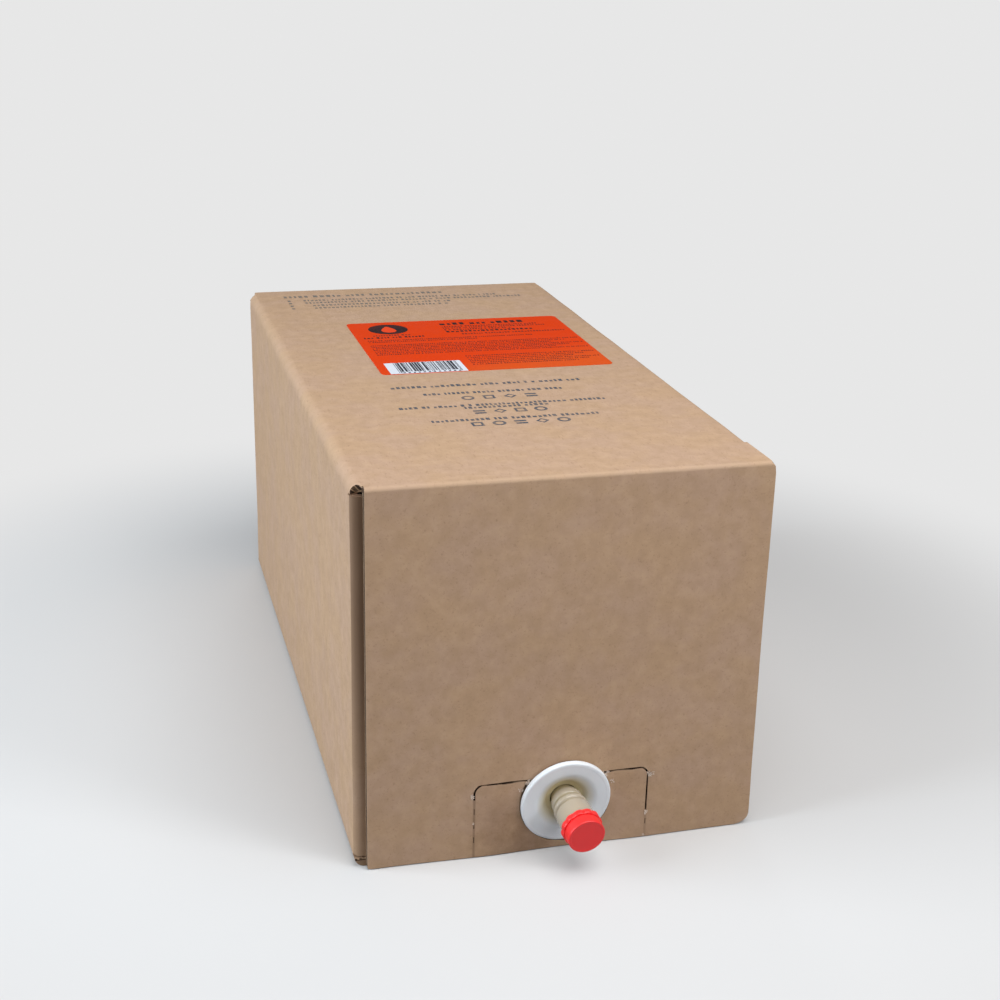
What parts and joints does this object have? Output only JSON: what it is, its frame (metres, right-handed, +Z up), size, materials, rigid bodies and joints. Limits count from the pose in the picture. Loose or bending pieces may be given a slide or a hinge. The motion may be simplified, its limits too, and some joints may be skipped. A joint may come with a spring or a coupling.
{
  "type": "bag in box carton",
  "caption": "Corrugated carton that holds a filled liquid bag, with a flanged tapping spout, sprung valve and pull-off dust cap at the front.",
  "frame": {"origin": "middle of the carton's base", "axes": "+Z up, the spout end faces -Y, +X to the right seen from the spout end"},
  "size_m": [0.194, 0.4191, 0.1867],
  "materials": {
    "kraft_board": "matt kraft liner",
    "label_paper": "satin coated paper",
    "bag_film": "soft translucent film over syrup",
    "white_plastic": "waxy translucent polyethylene",
    "ivory_plastic": "smooth moulded",
    "poppet_plastic": "smooth moulded",
    "seal_rubber": "dull black",
    "spring_steel": "drawn wire",
    "red_plastic": "satin moulded"
  },
  "bodies": {
    "pack": {"carton": "kraft_board", "label": "label_paper", "filled_bag": "bag_film", "spout_gland": "white_plastic", "valve_body": "ivory_plastic", "spring_retainer": "ivory_plastic", "valve_spring": "spring_steel"},
    "poppet": {"valve_poppet": "poppet_plastic", "poppet_seal": "seal_rubber"},
    "cap": {"dust_cap": "red_plastic"}
  },
  "joints": [
    {"name": "poppet_push", "type": "slide", "parent": "pack", "child": "poppet", "axis": [-0.0742, 0.9862, 0.1478], "range_m": [0, 0.004], "stiffness_N_per_m": 600, "springref_m": -0.003, "deforming": ["valve_spring"]},
    {"name": "cap_pull", "type": "slide", "parent": "pack", "child": "cap", "axis": [0.0742, -0.9862, -0.1478], "range_m": [0, 0.03]}
  ]
}
